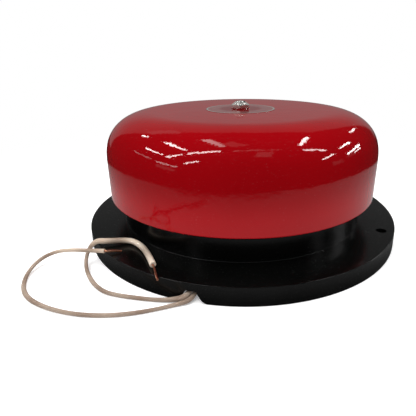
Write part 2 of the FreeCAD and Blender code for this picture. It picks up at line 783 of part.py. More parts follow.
# Routes of the wires inside the bell
lead_a_inner_route = [
    (tag_xs[2], tag_front, solder_a_z), (tag_xs[2], -38.0, solder_a_z), (-13.0, -50.0, 43.5),
    exit_point(grommet_place, lead_a_side, lead_arch_z),
] + inner_lead_end(lead_a_side)
lead_b_inner_route = [
    (tag_xs[0], tag_front, solder_b_z), (tag_xs[0], -36.0, solder_b_z), (-27.0, -50.0, 41.5),
    exit_point(grommet_place, lead_b_side, lead_arch_z),
] + inner_lead_end(lead_b_side)
coil_surface_y = -(winding_radius + fit_gap + tape_thickness)
tail_a_route = [
    (33.0, coil_surface_y, striker_z), (33.0, -19.0, striker_z), (12.0, -19.5, 46.5), (-7.0, -16.5, 44.0),
    (tag_xs[2], -15.5, solder_a_z), (tag_xs[2], tag_back, solder_a_z),
]
tail_b_route = [
    (39.0, coil_surface_y, striker_z), (39.0, -21.0, striker_z), (26.0, -24.0, 52.0),
    (8.0, -23.5, 53.0), (-10.0, -19.0, 52.0), (-20.0, -14.0, 47.5), (tag_xs[1], -14.5, solder_tail_z),
    (tag_xs[1], tag_back, solder_tail_z),
]

# Routes of the two free leads: out through the notch, round the left side and back onto the flange
lead_a_route = [
    exit_point(clip_outer, lead_a_side, clip_lead_z), exit_point(108.0, lead_a_side, clip_lead_z),
    exit_point(119.0, 1.0, 2.3), (-35.0, -118.4, lead_rest_z), (-43.9, -122.5, lead_rest_z),
    (-55.9, -126.7, lead_rest_z), (-68.1, -129.0, lead_rest_z), (-80.9, -129.4, lead_rest_z),
    (-94.9, -127.3, lead_rest_z), (-108.0, -122.8, lead_rest_z), (-119.3, -116.6, lead_rest_z),
    (-127.9, -107.8, lead_rest_z), (-132.7, -98.9, 1.6), (-134.9, -88.1, 2.6), (-132.4, -76.9, 4.8),
    (-123.6, -71.9, 7.6), (-110.4, -74.9, 10.6), (-97.4, -80.0, 13.2), (-85.8, -82.7, 14.2),
]
lead_b_route = [
    exit_point(clip_outer, lead_b_side, clip_lead_z), exit_point(108.0, lead_b_side, clip_lead_z),
    exit_point(119.8, -2.3, 4.3), (-37.6, -115.0, 1.7), (-47.0, -115.1, lead_rest_z),
    (-59.5, -113.5, lead_rest_z), (-70.5, -111.3, lead_rest_z), (-79.1, -108.4, lead_rest_z),
    (-87.5, -101.2, lead_rest_z), (-94.9, -91.1, 1.5), (-99.5, -82.8, 2.6), (-101.8, -76.2, 5.4),
    (-100.3, -73.6, 10.5), (-95.5, -72.9, 15.9), (-88.3, -70.6, 15.3), (-75.0, -66.4, 14.0),
    (-66.3, -71.5, 13.7), (-58.8, -83.8, 13.7), (-51.5, -98.2, 13.7),
]
core_a_tip = (-75.4, -80.9, 13.1)
core_b_tip = (-45.7, -112.7, 13.0)


def make_core(name, lead_route, tip):
    """The bare wire: straight out of the sleeve, then bent a little towards its tip."""
    before, end = (Vector(*p) for p in lead_route[-2:])
    straight = end + (end - before).normalize() * core_straight
    return swept_tube(name, [end, straight, tip], core_radius)


nodes = {
    "base_housing": make_base(),
    "gong": make_gong(),
    "label_disc": ring(label_hole_radius, label_radius, gong_top_z, gong_top_z + label_thickness),
    "gong_nut": make_cap_nut(),
    "spring_washer": make_spring_washer(),
    "gong_cushion": ring(stud_hole_radius, cushion_radius, gong_inner_top_z - cushion_thickness,
                         gong_inner_top_z),
    "gong_post": make_post(),
    "post_washer": ring(stud_hole_radius, post_washer_radius, deck_bottom - post_washer_thickness,
                        deck_bottom),
    "chassis_plate": make_chassis(),
    "chassis_screws": group([
        screw(x, y, chassis_top, m4_radius, m4_length, m4_head_radius, m4_head_height)
        for x, y in chassis_screw_places
    ]),
    "solenoid_frame": make_solenoid_frame(),
    "frame_screws": group([
        screw(x, y, chassis_top + frame_thickness, m4_radius, m4_length, m4_head_radius, m4_head_height)
        for x, y in frame_screw_places
    ]),
    "coil_bobbin": make_bobbin(),
    "coil_winding": make_winding(),
    "coil_tape": make_tape(),
    "guide_tube": on_striker_axis(ring(guide_inner_radius, guide_radius, frame_rear_x - guide_overhang,
                                       pole_rear_x)),
    "fixed_pole": make_fixed_pole(),
    "pole_nut": make_pole_nut(),
    "front_buffer": on_striker_axis(ring(pin_radius + running_gap, buffer_radius, pole_nose_x,
                                         buffer_front_x)),
    "plunger": make_plunger(),
    "push_pin": on_striker_axis(cylinder(pin_radius, plunger_front_x - pin_socket_depth + fit_gap,
                                         head_rear_x + pin_socket_depth - fit_gap)),
    "striker_head": make_striker_head(),
    "retaining_clip": make_retaining_clip(),
    "spring_collar": make_spring_collar(),
    "return_spring": make_return_spring(),
    "tag_board": make_board(),
    "board_pillars": group([
        ring(m3_radius + screw_hole_play, board_pillar_radius, chassis_top, board_bottom, x, y)
        for x, y in board_screw_places
    ]),
    "board_screws": group([
        screw(x, y, board_top, m3_radius, board_top - deck_top - fit_gap, m3_head_radius, m3_head_height)
        for x, y in board_screw_places
    ]),
    "solder_tags": group([make_tag(x) for x in tag_xs]),
    "rectifier_diode": make_diode(),
    "coil_tail_a": swept_tube("coil_tail_a", tail_a_route, tail_radius),
    "coil_tail_b": swept_tube("coil_tail_b", tail_b_route, tail_radius),
    "cable_grommet": make_grommet(),
    "lead_a_inner": swept_tube("lead_a_inner", lead_a_inner_route, lead_radius),
    "lead_b_inner": swept_tube("lead_b_inner", lead_b_inner_route, lead_radius),
    "cable_clip": make_cable_clip(),
    "clip_screws": make_clip_screws(),
    "lead_a": swept_tube("lead_a", lead_a_route, lead_radius),
    "lead_b": swept_tube("lead_b", lead_b_route, lead_radius),
    "lead_a_core": make_core("lead_a_core", lead_a_route, core_a_tip),
    "lead_b_core": make_core("lead_b_core", lead_b_route, core_b_tip),
}

post_nut = make_hex_nut(nut_across_flats, post_nut_height, stud_radius + fit_gap)
post_nut.translate(Vector(0, 0, deck_bottom - post_washer_thickness - post_nut_height))
nodes["post_nut"] = post_nut

os.makedirs("parts", exist_ok=True)
for name, shape in nodes.items():
    assert shape.isValid() and shape.Volume > 0, name
    shape.exportStep(f"parts/{name}.step")
print(len(nodes), "nodes")
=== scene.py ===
import json
import math

import bmesh
import bpy
from mathutils import Matrix, Vector


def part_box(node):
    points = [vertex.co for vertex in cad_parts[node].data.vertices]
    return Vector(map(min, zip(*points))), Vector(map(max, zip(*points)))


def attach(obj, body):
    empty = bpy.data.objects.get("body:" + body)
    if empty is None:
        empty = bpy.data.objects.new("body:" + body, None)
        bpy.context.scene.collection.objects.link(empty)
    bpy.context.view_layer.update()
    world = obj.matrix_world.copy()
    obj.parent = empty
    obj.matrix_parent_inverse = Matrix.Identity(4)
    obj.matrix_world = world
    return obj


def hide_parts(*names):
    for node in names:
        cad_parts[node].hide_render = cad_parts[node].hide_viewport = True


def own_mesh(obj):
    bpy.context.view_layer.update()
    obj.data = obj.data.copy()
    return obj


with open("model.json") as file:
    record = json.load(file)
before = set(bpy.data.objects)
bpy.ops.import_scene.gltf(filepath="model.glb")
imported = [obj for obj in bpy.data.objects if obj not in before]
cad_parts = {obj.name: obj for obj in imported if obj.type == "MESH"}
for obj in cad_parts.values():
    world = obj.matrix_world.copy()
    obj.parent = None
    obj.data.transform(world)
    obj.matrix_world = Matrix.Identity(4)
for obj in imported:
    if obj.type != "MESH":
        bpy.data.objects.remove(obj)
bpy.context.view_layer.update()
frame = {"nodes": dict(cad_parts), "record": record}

mm = 0.001


# Working habits shared by all pieces.
def deselectAll():
    if bpy.context.object and bpy.context.object.mode != "OBJECT":
        bpy.ops.object.mode_set(mode="OBJECT")
    bpy.ops.object.select_all(action="DESELECT")


def takeHold(piece):
    deselectAll()
    piece.select_set(True)
    bpy.context.view_layer.objects.active = piece


def polar(radius, azimuth, height=0.0):
    angle = math.radians(azimuth)
    return Vector((radius * math.cos(angle), radius * math.sin(angle), height))


# Corners are (across, up) or (across, up, rounding) in millimetres; a rounding becomes a small arc.
def roundedOutline(corners, arcSteps):
    points = []
    for k, corner in enumerate(corners):
        here = Vector(corner[:2])
        if len(corner) == 2:
            points.append(here)
            continue
        rounding = corner[2]
        before = (Vector(corners[k - 1][:2]) - here).normalized()
        after = (Vector(corners[(k + 1) % len(corners)][:2]) - here).normalized()
        half = before.angle(after) / 2
        reach = rounding / math.tan(half)
        centre = here + (before + after).normalized() * rounding / math.sin(half)
        start = here + before * reach - centre
        sweep = (here + after * reach - centre).angle_signed(start)
        for step in range(arcSteps + 1):
            turn = Matrix.Rotation(sweep * step / arcSteps, 2)
            points.append(centre + turn @ start)
    return [point * mm for point in points]


# Draws a closed outline by extruding one point from place to place in the XZ plane, and leaves it selected.
def drawOutline(name, points):
    deselectAll()
    bpy.ops.mesh.primitive_plane_add(size=mm, location=(0, 0, 0))
    piece = bpy.context.object
    piece.name = name
    bpy.ops.object.mode_set(mode="EDIT")
    bpy.ops.mesh.select_mode(type="VERT")
    bpy.ops.mesh.select_all(action="SELECT")
    bpy.ops.mesh.merge(type="CENTER")
    bpy.ops.transform.translate(value=(points[0][0], 0, points[0][1]))
    for last, here in zip(points, points[1:]):
        step = (here[0] - last[0], 0, here[1] - last[1])
        bpy.ops.mesh.extrude_region_move(TRANSFORM_OT_translate={"value": step})
    mesh = bmesh.from_edit_mesh(piece.data)
    for vert in mesh.verts:
        vert.select_set(len(vert.link_edges) == 1)
    bpy.ops.mesh.edge_face_add()
    bpy.ops.mesh.select_all(action="SELECT")
    return piece


def tidyShell(piece):
    bpy.ops.mesh.select_all(action="SELECT")
    bpy.ops.mesh.remove_doubles(threshold=0.002 * mm)
    bpy.ops.mesh.normals_make_consistent(inside=False)
    bpy.ops.object.mode_set(mode="OBJECT")
    return piece


# A turned shape: the outline is spun round +Z, and filled first where it stops short of a full turn.
def turned(name, points, steps, sweep=360):
    piece = drawOutline(name, points)
    if sweep != 360:
        bpy.ops.mesh.edge_face_add()
    bpy.ops.mesh.spin(steps=steps, angle=math.radians(sweep), center=(0, 0, 0), axis=(0, 0, 1))
    return tidyShell(piece)


# A straight shape: the outline is filled and pushed along +Y.
def pushed(name, points, depth):
    piece = drawOutline(name, points)
    bpy.ops.mesh.edge_face_add()
    bpy.ops.mesh.extrude_region_move(TRANSFORM_OT_translate={"value": (0, depth, 0)})
    return tidyShell(piece)


# Moves the mesh itself, so that the object stays at the origin.
def place(piece, matrix):
    piece.data.transform(matrix)
    piece.data.update()
    return piece


def joined(name, pieces):
    deselectAll()
    for piece in pieces:
        piece.select_set(True)
    bpy.context.view_layer.objects.active = pieces[0]
    bpy.ops.object.join()
    pieces[0].name = name
    return pieces[0]


def modified(piece, kind, **settings):
    takeHold(piece)
    modifier = piece.modifiers.new(kind.lower(), kind)
    for key, value in settings.items():
        setattr(modifier, key, value)
    bpy.ops.object.modifier_apply(modifier=modifier.name)
    return piece


def combine(piece, operation, tool):
    modified(piece, "BOOLEAN", operation=operation, solver="EXACT", object=tool)
    bpy.data.objects.remove(tool)
    return piece


def smooth(piece, angle):
    takeHold(piece)
    bpy.ops.object.shade_smooth_by_angle(angle=math.radians(angle))
    return modified(piece, "WEIGHTED_NORMAL", keep_sharp=True, weight=60)


# A wire between shader nodes: an expression on wires adds its Math nodes.
class Wire:
    def __init__(self, sheet, socket):
        self.sheet = sheet
        self.socket = socket

    def __add__(self, other):
        return self.sheet.math("ADD", self, other)

    def __sub__(self, other):
        return self.sheet.math("SUBTRACT", self, other)

    def __rsub__(self, other):
        return self.sheet.math("SUBTRACT", other, self)

    def __mul__(self, other):
        return self.sheet.math("MULTIPLY", self, other)

    def __truediv__(self, other):
        return self.sheet.math("DIVIDE", self, other)

    def __rtruediv__(self, other):
        return self.sheet.math("DIVIDE", other, self)

    def __pow__(self, other):
        return self.sheet.math("POWER", self, other)

    def __rpow__(self, other):
        return self.sheet.math("POWER", other, self)

    __radd__ = __add__
    __rmul__ = __mul__

    # One of the X, Y and Z of a place.
    def axis(self, index):
        return self.sheet.add("ShaderNodeSeparateXYZ", None, {"Vector": self}, index)

    def spread(self, low, high, newLow=0.0, newHigh=1.0):
        return self.sheet.add("ShaderNodeMapRange", {"interpolation_type": "SMOOTHSTEP"}, {
            "Value": self, "From Min": low, "From Max": high, "To Min": newLow, "To Max": newHigh})


# The nodes of one material, or of the surroundings.
class NodeSheet:
    def __init__(self, tree):
        self.tree = tree

    # Any node: its kind, its settings, the values or wires of its sockets, and the output to take.
    def add(self, kind, settings=None, inputs=None, output=0):
        node = self.tree.nodes.new(kind)
        for key, value in (settings or {}).items():
            setattr(node, key, value)
        self.connect(node, inputs or {})
        return Wire(self, node.outputs[output])

    def connect(self, node, inputs):
        for key, value in inputs.items():
            socket = node.inputs[key]
            if isinstance(value, Wire):
                self.tree.links.new(value.socket, socket)
            elif socket.type == "RGBA":
                socket.default_value = (*value, 1)
            else:
                socket.default_value = value

    def math(self, operation, *values):
        return self.add("ShaderNodeMath", {"operation": operation}, dict(enumerate(values)))

    # Object coordinates, stretched where a scale is given.
    def coordinates(self, scale=None):
        here = self.add("ShaderNodeTexCoord", output="Object")
        return self.add("ShaderNodeMapping", None, {"Vector": here, "Scale": scale}) if scale else here

    def noise(self, vector, scale, detail=2.0, roughness=0.5):
        return self.add("ShaderNodeTexNoise", None, {
            "Vector": vector, "Scale": scale, "Detail": detail, "Roughness": roughness})

    def mix(self, factor, first, second):
        return self.add("ShaderNodeMix", {"data_type": "RGBA"}, {0: factor, 6: first, 7: second}, 2)

    def bump(self, height, distance, strength):
        return self.add("ShaderNodeBump", None, {
            "Height": height, "Distance": distance, "Strength": strength})


class Finish(NodeSheet):
    socketNames = {
        "colour": "Base Color", "roughness": "Roughness", "metallic": "Metallic", "ior": "IOR",
        "specular": "Specular IOR Level", "coat": "Coat Weight", "normal": "Normal", "alpha": "Alpha",
        "subsurface": "Subsurface Weight", "subsurfaceRadius": "Subsurface Radius",
        "subsurfaceScale": "Subsurface Scale", "glow": "Emission Color",
        "glowStrength": "Emission Strength",
    }

    def __init__(self, name):
        self.material = bpy.data.materials.new(name)
        self.material.use_nodes = True
        super().__init__(self.material.node_tree)
        self.tree.nodes.clear()
        self.shader = self.tree.nodes.new("ShaderNodeBsdfPrincipled")
        output = self.tree.nodes.new("ShaderNodeOutputMaterial")
        self.tree.links.new(self.shader.outputs[0], output.inputs["Surface"])

    def finishWith(self, **sockets):
        self.connect(self.shader, {self.socketNames[key]: value for key, value in sockets.items()})
        return self.material


def hypotenuse(across, along):
    return (across * across + along * along) ** 0.5


remade = set()  # the CAD nodes that a piece of this script stands for


def dress(piece, material, replaces=None):
    piece.data.materials.clear()
    piece.data.materials.append(material)
    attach(piece, "base")
    if replaces:
        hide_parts(replaces)
        remade.add(replaces)
    return piece


# Camera.
camera = {
    "place": (0.0, -291.83 * mm, 130.08 * mm),
    "right": (0.99882578, 0.04671613, -0.01283238),
    "up": (-0.00283871, 0.32085749, 0.94712323),
    "back": (0.04836329, -0.94597467, 0.32061335),
    "lens": 32.61,
    "sensor": 36.0,
    "shift": (-0.03338, -0.05816),
    "clipStart": 0.01,
}
lens = bpy.data.cameras.new("camera")
lens.sensor_width = camera["sensor"]
lens.lens = camera["lens"]
lens.shift_x, lens.shift_y = camera["shift"]
lens.clip_start = camera["clipStart"]
cameraObject = bpy.data.objects.new("camera", lens)
bpy.context.scene.collection.objects.link(cameraObject)
cameraAxes = Matrix([camera[key] for key in ("right", "up", "back")])
cameraObject.matrix_world = Matrix.Translation(camera["place"]) @ cameraAxes.transposed().to_4x4()
bpy.context.scene.camera = cameraObject
print("camera placed")


# Leads: sleeved solid copper wires, in millimetres.
leads = {
    "diameter": 2.5,
    "length": {"a": 229.3, "b": 202.2},
    "exitAzimuth": -103.4,
    "exitStart": 81.0,
    "exitEnd": 108.0,
    "exitSide": {"a": 1.6, "b": -1.2},
    "clipHeight": 5.2,
    "coreDiameter": 1.3,
    "coreStraight": 3.0,
    "coreTip": {"a": (-75.4, -80.9, 13.1), "b": (-45.7, -112.7, 13.0)},
}
# The sleeve's cut end: the cuff is slightly wider than the sleeve, and its lip is drawn in.
mouth = {"length": 2.2, "boreGap": 0.12, "proud": 0.04, "lip": 0.2, "lipDepth": 0.25, "around": 40}


# A point at a distance along the way out through the notch.
def exitPoint(distance, side, height):
    way = math.radians(leads["exitAzimuth"] + 90)
    return (side * math.cos(way) + distance * math.sin(way),
            side * math.sin(way) - distance * math.cos(way), height)


# On the straight stretch from the clip under the deck to just inside the notch.
def insidePoint(letter, distance):
    return exitPoint(distance, leads["exitSide"][letter], leads["clipHeight"])


# Points along each lead, each with the width of its loose sleeve there.
leadRoutes = {
    "a": [
        (*insidePoint("a", leads["exitStart"]), 2.5), (*insidePoint("a", leads["exitEnd"]), 2.5),
        (*exitPoint(119.0, 0.7, 2.4), 2.9), (-35.0, -118.4, 1.2, 2.35), (-44.3, -122.5, 1.2, 1.99),
        (-56.1, -126.4, 1.2, 2.38), (-67.7, -128.6, 1.2, 2.38), (-81.3, -128.9, 1.2, 2.38),
        (-94.5, -126.9, 1.2, 2.33), (-107.8, -122.5, 1.25, 2.5), (-119.3, -116.2, 1.3, 2.73),
        (-126.9, -108.3, 1.35, 2.77), (-131.8, -98.5, 1.6, 2.55), (-134.0, -88.0, 2.6, 2.39),
        (-131.7, -77.2, 4.8, 2.53), (-123.0, -72.4, 7.6, 2.44), (-110.3, -75.6, 10.6, 2.4),
        (-97.3, -81.0, 13.2, 2.55), (-85.8, -83.1, 14.2, 2.7),
    ],
    "b": [
        (*insidePoint("b", leads["exitStart"]), 2.5), (*insidePoint("b", leads["exitEnd"]), 2.6),
        (*exitPoint(119.8, -2.2, 4.2), 3.5), (-37.6, -115.0, 1.75, 2.8), (-47.3, -114.7, 1.25, 2.26),
        (-59.6, -112.9, 1.2, 2.43), (-70.5, -110.8, 1.2, 2.37), (-79.0, -107.9, 1.25, 2.51),
        (-87.3, -100.8, 1.3, 2.64), (-94.8, -90.9, 1.5, 2.55), (-99.3, -82.8, 2.6, 2.38),
        (-101.4, -76.0, 5.4, 2.36), (-99.9, -73.4, 10.5, 2.72), (-95.0, -72.6, 15.9, 3.45),
        (-87.4, -72.3, 15.5, 3.81), (-74.2, -68.4, 14.5, 3.7), (-66.5, -72.8, 14.3, 3.88),
        (-57.6, -84.9, 14.3, 3.97), (-51.2, -99.0, 14.3, 3.89),
    ],
}


def cordCurve(name, points, diameter):
    line = bpy.data.curves.new(name, "CURVE")
    line.dimensions = "3D"
    spline = line.splines.new("NURBS")
    spline.points.add(len(points) - 1)
    for knot, point in zip(spline.points, points):
        knot.co = (*(Vector(point[:3]) * mm), 1)
        knot.radius = point[3] / diameter if len(point) > 3 else 1
    spline.order_u = 3
    spline.use_endpoint_u = True
    spline.resolution_u = 14
    line.bevel_depth = diameter * mm / 2
    line.bevel_resolution = 7
    line.use_fill_caps = True
    cord = bpy.data.objects.new(name, line)
    bpy.context.scene.collection.objects.link(cord)
    return cord


def endOf(route):
    end = Vector(route[-1][:3])
    return end, (end - Vector(route[-2][:3])).normalized()


# The cut end of a sleeve: a short hollow cuff with the wire coming out of it.
def sleeveMouth(name, route):
    end, along = endOf(route)
    radius = route[-1][3] / 2
    bore = leads["coreDiameter"] / 2 + mouth["boreGap"]
    length, proud, lipDepth = mouth["length"], mouth["proud"], mouth["lipDepth"]
    corners = [(bore, 0.15, 0.1), (radius - mouth["lip"], 0, 0.15), (radius + proud, lipDepth, 0.12),
               (radius + proud / 2, length, 0.02), (radius - 0.1, length + 0.1), (bore, length + 0.1)]
    cuff = turned(name, roundedOutline(corners, 4), mouth["around"])
    swing = Vector((0, 0, 1)).rotation_difference(-along).to_matrix().to_4x4()
    return place(cuff, Matrix.Translation((end + along * lipDepth) * mm) @ swing)


def makeLead(letter, sleeving, copper):
    route = leadRoutes[letter]
    end, along = endOf(route)
    lead = cordCurve(f"lead_{letter}_sleeve", route, leads["diameter"])
    dress(lead, sleeving, replaces=f"lead_{letter}")
    inside = end - along * mouth["length"]
    bend = end + along * leads["coreStraight"]
    places = [inside, (inside + bend) / 2, bend, Vector(leads["coreTip"][letter])]
    wire = cordCurve(f"lead_{letter}_wire", places, leads["coreDiameter"])
    dress(wire, copper, replaces=f"lead_{letter}_core")
    cuff = smooth(sleeveMouth(f"lead_{letter}_mouth", route), 50)
    dress(cuff, sleeving)


# Varnished glass fibre: each pair of colours is clear and grimy; near the bell it is painted lighter, a
# painted light against the shade there, and it is darker low down.
sleeve = {
    "clean": ((0.62, 0.49, 0.385), (0.51, 0.39, 0.295)),
    "paintedLit": ((1.0, 0.87, 0.72), (0.92, 0.77, 0.63)),
    "darkerLow": ((0.345, 0.262, 0.207), (0.282, 0.208, 0.162)),
    "fibre": (0.62, 0.53, 0.43),
    "paintedGrooveShade": (0.22, 0.15, 0.11),
    "paintedLitAcross": (-95.0 * mm, -62.0 * mm),
    "darkerLowHeights": (3.0 * mm, 12.0 * mm),
    "ridges": 7,
    "ridgeDepth": 0.12 * mm,
}


def sleevingFinish():
    look = Finish("sleeving_beige")
    here = look.coordinates()
    around = look.add("ShaderNodeTexCoord", output="UV").axis(0)
    ridge = look.math("SINE", around * (2 * math.pi * sleeve["ridges"])) * 0.5 + 0.5
    grime = look.noise(here, 60.0, 3.0, 0.6).spread(0.35, 0.75)
    fibre = look.noise(here, 1500.0, 2.0, 0.6)
    clean, paintedLit, darkerLow = (look.mix(grime, *sleeve[key]) for key in ("clean", "paintedLit", "darkerLow"))
    # Painted light: the sleeving is lighter towards the bell's middle along X.
    clean = look.mix(here.axis(0).spread(*sleeve["paintedLitAcross"]), clean, paintedLit)
    # Darker towards the bottom, below the given heights.
    colour = look.mix(here.axis(2).spread(*sleeve["darkerLowHeights"]), darkerLow, clean)
    colour = look.mix(fibre * 0.3, colour, sleeve["fibre"])
    # Painted shade: the grooves between the lengthwise ridges are darkened.
    colour = look.mix((1 - ridge) ** 2.0 * 0.65, colour, sleeve["paintedGrooveShade"])
    return look.finishWith(colour=colour, roughness=0.62 - fibre * 0.12, specular=0.35, subsurface=0.5,
                           subsurfaceRadius=(1.0, 0.9, 0.8), subsurfaceScale=0.5 * mm,
                           normal=look.bump(fibre * 0.4 + ridge, sleeve["ridgeDepth"], 0.7))


bareCopper = {"bright": (0.80, 0.38, 0.24), "tarnished": (0.54, 0.25, 0.16), "roughness": 0.38}


def copperFinish():
    look = Finish("copper_bare")
    here = look.coordinates()
    tarnish = look.noise(here, 500.0).spread(0.3, 0.8)
    colour = look.mix(tarnish, bareCopper["bright"], bareCopper["tarnished"])
    return look.finishWith(colour=colour, metallic=1.0, roughness=tarnish * 0.1 + bareCopper["roughness"],
                           normal=look.bump(look.noise(here, 1800.0), 0.008 * mm, 0.3))


sleeving = sleevingFinish()
copper = copperFinish()
for letter in leadRoutes:
    makeLead(letter, sleeving, copper)
print("leads laid")


# Gong.
gongLow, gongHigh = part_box("gong")
gong = {
    "radius": gongHigh[0],
    "rimRadius": 101.1 * mm,
    "rim": gongLow[2],
    "top": gongHigh[2],
    "wall": 2.0 * mm,
    "shoulder": 60.5 * mm,
    "flatRadius": 64.8 * mm,
    "power": 2.37,
    "hole": 4.6 * mm,
    "shoulderSteps": 44,
    "rimSteps": 10,
    "around": 256,
}


# The shoulder is a superellipse between the straight side and the flat top.
def shoulderPoints(inset):
    reach = gong["radius"] - gong["flatRadius"] - inset
    rise = gong["top"] - gong["shoulder"] - inset
    count = gong["shoulderSteps"]
    points = []
    for step in range(count + 1):
        angle = math.pi / 2 * step / count
        across = max(math.cos(angle), 0) ** (2 / gong["power"])
        up = math.sin(angle) ** (2 / gong["power"])
        points.append((gong["flatRadius"] + reach * across, gong["shoulder"] + rise * up))
    return points


def gongOutline():
    wall, count = gong["wall"], gong["rimSteps"]
    middle = (gong["rimRadius"] - wall / 2, gong["rim"] + wall / 2)
    outline = []
    for step in range(count + 1):
        angle = math.pi + math.pi * step / count
        outline.append((middle[0] + wall / 2 * math.cos(angle), middle[1] + wall / 2 * math.sin(angle)))
    outline += shoulderPoints(0)
    outline += [(0.5 * (gong["flatRadius"] + gong["hole"]), gong["top"])]
    outline += [(gong["hole"], gong["top"]), (gong["hole"], gong["top"] - wall)]
    outline += list(reversed(shoulderPoints(wall)))
    return outline


# Red stove enamel: deep gloss with orange peel and a few specks of dust; its colour is painted brighter
# towards the rim, a painted light.
enamel = {
    "colour": (0.285, 0.0009, 0.0032),
    "paintedLightRimColour": (0.41, 0.0022, 0.0060),
    "paintedLightRimUp": (40.0 * mm, 62.0 * mm),
    "dust": (0.5, 0.3, 0.3),
    "roughness": 0.045,
    "peelScale": 210.0,
    "waveScale": 60.0,
    "peelDepth": 0.17 * mm,
}


def enamelFinish():
    look = Finish("enamel_red")
    here = look.coordinates()
    # Painted light: the colour grows brighter from below the shoulder down to the rim.
    low = here.axis(2).spread(*enamel["paintedLightRimUp"], 1.0, 0.0)
    cloud = look.noise(here, 22.0)
    dust = look.noise(here, 1400.0, 1.0).spread(0.70, 0.78)
    colour = look.mix(low, enamel["colour"], enamel["paintedLightRimColour"])
    colour = look.mix(cloud.spread(0.3, 0.7) * 0.07, colour, (0.0, 0.0, 0.0))
    colour = look.mix(dust * 0.10, colour, enamel["dust"])
    peel = look.noise(here, enamel["peelScale"], 3.0, 0.55)
    waves = look.noise(here, enamel["waveScale"], 1.0, 0.4)
    return look.finishWith(colour=colour, roughness=dust * 0.2 + enamel["roughness"], ior=1.5,
                           normal=look.bump(peel + waves * 1.6, enamel["peelDepth"], 0.5))


gongPiece = smooth(turned("gong_shell", gongOutline(), gong["around"]), 40)
dress(gongPiece, enamelFinish(), replaces="gong")
print("gong spun")


# Base: flange, drum and skirt in one moulding, in millimetres.
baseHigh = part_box("base_housing")[1]
base = {
    "radius": baseHigh[0] / mm,
    "deckTop": baseHigh[2] / mm,
    "wall": 2.5,
    "flangeTop": 12.3,
    "flangeEdge": 0.45,
    "drumFoot": 92.0,
    "drumTop": 91.9,
    "shoulder": 1.5,
    "footFillet": 0.35,
    "rimRound": 0.3,
    "innerFillet": 0.4,
    "studHole": 4.3,
    "around": 288,
    "holeCircle": 109.5,
    "holeRadius": 3.5,
    "holeChamfer": 0.1,
    "holeAzimuths": (-24.8, 95.2, 215.2),
    "pillarRadius": 6.6,
    "bossRadius": 4.25,
    "chassisBossBottom": 17.0,
    "frameBossBottom": 19.5,
    "chassisBosses": ((-48, 24), (-48, -24), (70, 24), (70, -24)),
    "frameBosses": ((47.25, 20), (47.25, -20)),
    "clipPosts": ((78.0, 8.2), (78.0, -7.8)),
    "clipPostRadius": 3.2,
    "clipPostBottom": 7.5,
    "grommetPlace": 60.0,
    "grommetHole": 5.5,
    "leadMiddle": 0.2,
    "margin": 1.0,  # how far posts run into a wall, and cutters past it
    "coneRise": 1.5,  # how far the fixing holes' chamfer cone runs on above the flange
}
notch = {"topHalf": 2.9, "footHalf": 7.3, "height": 7.4, "topRound": 1.3, "flareRound": 6.0}
posts = {"round": 0.25, "around": 40}


def baseOutline():
    wall, fillet = base["wall"], base["innerFillet"]
    corners = [
        (base["studHole"], base["deckTop"]),
        (base["drumTop"], base["deckTop"], base["shoulder"]),
        (base["drumFoot"], base["flangeTop"], base["footFillet"]),
        (base["radius"], base["flangeTop"], base["flangeEdge"]),
        (base["radius"], 0, base["rimRound"]),
        (base["radius"] - wall, 0, base["rimRound"]),
        (base["radius"] - wall, base["flangeTop"] - wall, fillet),
        (base["drumFoot"] - wall, base["flangeTop"] - wall, fillet),
        (base["drumTop"] - wall, base["deckTop"] - wall, fillet),
        (base["studHole"], base["deckTop"] - wall),
    ]
    return roundedOutline(corners, 8)


def post(radius, low, high, at):
    corners = [(0, low), (radius, low, posts["round"]), (radius, high), (0, high)]
    piece = turned("post", roundedOutline(corners, 3), posts["around"])
    return place(piece, Matrix.Translation(Vector((at[0], at[1], 0)) * mm))


# A through hole with a slight chamfer at the flange's top face.
def holeCutter(at):
    radius, low, top = base["holeRadius"], -base["margin"], base["flangeTop"]
    wide, high = radius + base["coneRise"], top + base["coneRise"]
    corners = [(0, low), (radius, low), (radius, top - base["holeChamfer"]), (wide, high), (0, high)]
    return place(turned("hole", roundedOutline(corners, 1), 48), Matrix.Translation(at * mm))


# A round-topped gap whose leaning walls flare out to the bottom rim.
def notchCutter():
    foot, flare, margin = notch["footHalf"], notch["flareRound"], base["margin"]
    half = [(notch["topHalf"], notch["height"], notch["topRound"]), (foot, 0, flare), (foot + flare, 0),
            (foot + flare, -margin)]
    corners = [(-corner[0], *corner[1:]) for corner in reversed(half)] + half
    cutter = pushed("notch", roundedOutline(corners, 10), (2 * base["wall"] + margin) * mm)
    swing = Matrix.Rotation(math.radians(leads["exitAzimuth"] + 90), 4, "Z")
    return place(cutter, swing @ Matrix.Translation((0, -(base["radius"] + margin) * mm, 0)))


def makeBase():
    housing = turned("base_moulding", baseOutline(), base["around"])
    margin = base["margin"]
    deckBottom = base["deckTop"] - base["wall"]
    intoDeck, intoFlange = deckBottom + margin, base["flangeTop"] - base["wall"] + margin
    holes = [polar(base["holeCircle"], azimuth) for azimuth in base["holeAzimuths"]]
    solids = [post(base["pillarRadius"], 0, intoFlange, at) for at in holes]
    solids += [post(base["bossRadius"], base["chassisBossBottom"], intoDeck, at)
               for at in base["chassisBosses"]]
    solids += [post(base["bossRadius"], base["frameBossBottom"], intoDeck, at)
               for at in base["frameBosses"]]
    solids += [post(base["clipPostRadius"], base["clipPostBottom"], intoDeck, exitPoint(*at, 0))
               for at in base["clipPosts"]]
    combine(housing, "UNION", joined("posts", solids))
    grommetAt = exitPoint(base["grommetPlace"], base["leadMiddle"], 0)
    cutters = [holeCutter(at) for at in holes] + [
        notchCutter(), post(base["grommetHole"], deckBottom - margin, base["deckTop"] + margin, grommetAt)]
    combine(housing, "DIFFERENCE", joined("cutters", cutters))
    return smooth(housing, 30)
